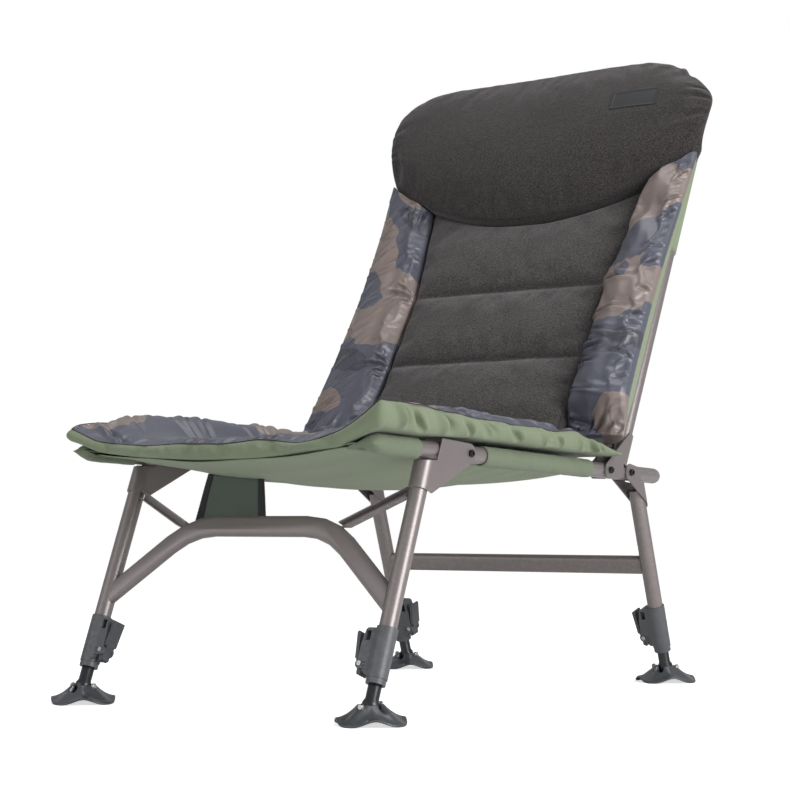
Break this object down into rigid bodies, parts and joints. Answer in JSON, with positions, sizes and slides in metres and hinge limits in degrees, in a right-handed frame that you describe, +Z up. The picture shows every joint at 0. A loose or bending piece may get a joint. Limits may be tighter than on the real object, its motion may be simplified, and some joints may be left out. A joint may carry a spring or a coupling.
{
  "type": "folding fishing chair",
  "caption": "Folding low fishing chair: slung cloth seat with mattress, padded reclined back with pillow, and clamped telescopic legs on swivelling mud feet.",
  "frame": {"origin": "on the floor, at the centre of the whole chair's footprint box", "axes": "+Z up, the chair's front faces -Y, +X to the right as seen from the front, and the fold hinges run along X"},
  "size_m": [0.6296, 1.006, 1.0312],
  "materials": {
    "frame_paint": "satin taupe paint",
    "plug_plastic": "satin taupe",
    "black_bolt": "black socket screw",
    "grey_plastic": "fine matte grey",
    "dark_plastic": "fine matte dark grey",
    "black_plastic": "black",
    "black_gloss_plastic": "black, satin gloss",
    "black_gloss_metal": "black gloss paint",
    "bright_zinc": "bright zinc",
    "sage_polyester": "woven sage green polyester",
    "dark_green_cloth": "dark green cloth with black binding",
    "camouflage_satin": "satin camouflage of slate and brown",
    "charcoal_fleece": "charcoal brushed fleece",
    "bare_label": "black rubber patch left bare"
  },
  "bodies": {
    "seat": {"seat_sling": "sage_polyester", "seat_pad": "camouflage_satin", "seat_flap": "dark_green_cloth", "seat_rail_left": "frame_paint", "rail_plug_left": "plug_plastic", "front_bolt_left": "black_bolt", "back_bolt_left": "black_bolt", "rear_bolt_left": "black_bolt", "seat_rail_right": "frame_paint", "rail_plug_right": "plug_plastic", "front_bolt_right": "black_bolt", "back_bolt_right": "black_bolt", "rear_bolt_right": "black_bolt"},
    "back": {"back_frame": "frame_paint", "back_cloth": "sage_polyester", "back_pad_centre": "charcoal_fleece", "head_pillow": "charcoal_fleece", "label_patch": "bare_label", "back_wing_left": "camouflage_satin", "back_bracket_left": "frame_paint", "back_wing_right": "camouflage_satin", "back_bracket_right": "frame_paint"},
    "front_legs": {"front_arch": "frame_paint", "front_leg_left": "frame_paint", "front_leg_plug_left": "black_plastic", "front_brace_left": "frame_paint", "front_bracket_left": "frame_paint", "clamp_front_left": "grey_plastic", "lever_pin_front_left": "bright_zinc", "front_leg_right": "frame_paint", "front_leg_plug_right": "black_plastic", "front_brace_right": "frame_paint", "front_bracket_right": "frame_paint", "clamp_front_right": "grey_plastic", "lever_pin_front_right": "bright_zinc"},
    "rear_legs": {"rear_crossbar": "frame_paint", "rear_leg_left": "frame_paint", "rear_bracket_left": "frame_paint", "clamp_rear_left": "grey_plastic", "lever_pin_rear_left": "bright_zinc", "rear_leg_right": "frame_paint", "rear_bracket_right": "frame_paint", "clamp_rear_right": "grey_plastic", "lever_pin_rear_right": "bright_zinc"},
    "lever_front_left": {"cam_lever_front_left": "dark_plastic"},
    "stem_front_left": {"extension_leg_front_left": "black_gloss_metal"},
    "foot_front_left": {"mud_foot_front_left": "black_gloss_plastic", "foot_pin_front_left": "bright_zinc"},
    "lever_front_right": {"cam_lever_front_right": "dark_plastic"},
    "stem_front_right": {"extension_leg_front_right": "black_gloss_metal"},
    "foot_front_right": {"mud_foot_front_right": "black_gloss_plastic", "foot_pin_front_right": "bright_zinc"},
    "lever_rear_left": {"cam_lever_rear_left": "dark_plastic"},
    "stem_rear_left": {"extension_leg_rear_left": "black_gloss_metal"},
    "foot_rear_left": {"mud_foot_rear_left": "black_gloss_plastic", "foot_pin_rear_left": "bright_zinc"},
    "lever_rear_right": {"cam_lever_rear_right": "dark_plastic"},
    "stem_rear_right": {"extension_leg_rear_right": "black_gloss_metal"},
    "foot_rear_right": {"mud_foot_rear_right": "black_gloss_plastic", "foot_pin_rear_right": "bright_zinc"}
  },
  "joints": [
    {"name": "back_fold", "type": "hinge", "parent": "seat", "child": "back", "pos_m": [0, 0.135, 0.33147], "axis": [1, 0, 0], "range_deg": [0, 100], "deforming": ["seat_pad", "back_pad_centre", "back_wing_left", "back_wing_right"]},
    {"name": "front_leg_fold", "type": "hinge", "parent": "seat", "child": "front_legs", "pos_m": [0, -0.246, 0.3461], "axis": [1, 0, 0], "range_deg": [0, 80], "deforming": ["seat_flap"]},
    {"name": "rear_leg_fold", "type": "hinge", "parent": "seat", "child": "rear_legs", "pos_m": [0, 0.199, 0.32901], "axis": [1, 0, 0], "range_deg": [-103, 0]},
    {"name": "leg_slide_front_left", "type": "slide", "parent": "front_legs", "child": "stem_front_left", "axis": [0, -0.36, -0.933], "range_m": [0, 0.1]},
    {"name": "foot_tilt_front_left", "type": "hinge", "parent": "stem_front_left", "child": "foot_front_left", "pos_m": [-0.252, -0.453, 0.024], "axis": [1, 0, 0], "range_deg": [-51, 9]},
    {"name": "cam_lever_front_left_swing", "type": "hinge", "parent": "front_legs", "child": "lever_front_left", "pos_m": [-0.228, -0.43464, 0.07158], "axis": [0, 0.933, -0.36], "range_deg": [0, 30]},
    {"name": "leg_slide_front_right", "type": "slide", "parent": "front_legs", "child": "stem_front_right", "axis": [0, -0.36, -0.933], "range_m": [0, 0.1]},
    {"name": "foot_tilt_front_right", "type": "hinge", "parent": "stem_front_right", "child": "foot_front_right", "pos_m": [0.252, -0.453, 0.024], "axis": [0, 1, 0], "range_deg": [-20, 20]},
    {"name": "cam_lever_front_right_swing", "type": "hinge", "parent": "front_legs", "child": "lever_front_right", "pos_m": [0.228, -0.43464, 0.07158], "axis": [0, -0.933, 0.36], "range_deg": [0, 30]},
    {"name": "leg_slide_rear_left", "type": "slide", "parent": "rear_legs", "child": "stem_rear_left", "axis": [0, 0.3107, -0.9505], "range_m": [0, 0.1]},
    {"name": "foot_tilt_rear_left", "type": "hinge", "parent": "stem_rear_left", "child": "foot_rear_left", "pos_m": [-0.252, 0.332, 0.024], "axis": [1, 0, 0], "range_deg": [-12, 48]},
    {"name": "cam_lever_rear_left_swing", "type": "hinge", "parent": "rear_legs", "child": "lever_rear_left", "pos_m": [-0.228, 0.31616, 0.07248], "axis": [0, 0.9505, 0.3107], "range_deg": [0, 30]},
    {"name": "leg_slide_rear_right", "type": "slide", "parent": "rear_legs", "child": "stem_rear_right", "axis": [0, 0.3107, -0.9505], "range_m": [0, 0.1]},
    {"name": "foot_tilt_rear_right", "type": "hinge", "parent": "stem_rear_right", "child": "foot_rear_right", "pos_m": [0.252, 0.332, 0.024], "axis": [1, 0, 0], "range_deg": [-12, 48]},
    {"name": "cam_lever_rear_right_swing", "type": "hinge", "parent": "rear_legs", "child": "lever_rear_right", "pos_m": [0.228, 0.31616, 0.07248], "axis": [0, -0.9505, -0.3107], "range_deg": [0, 30]}
  ]
}
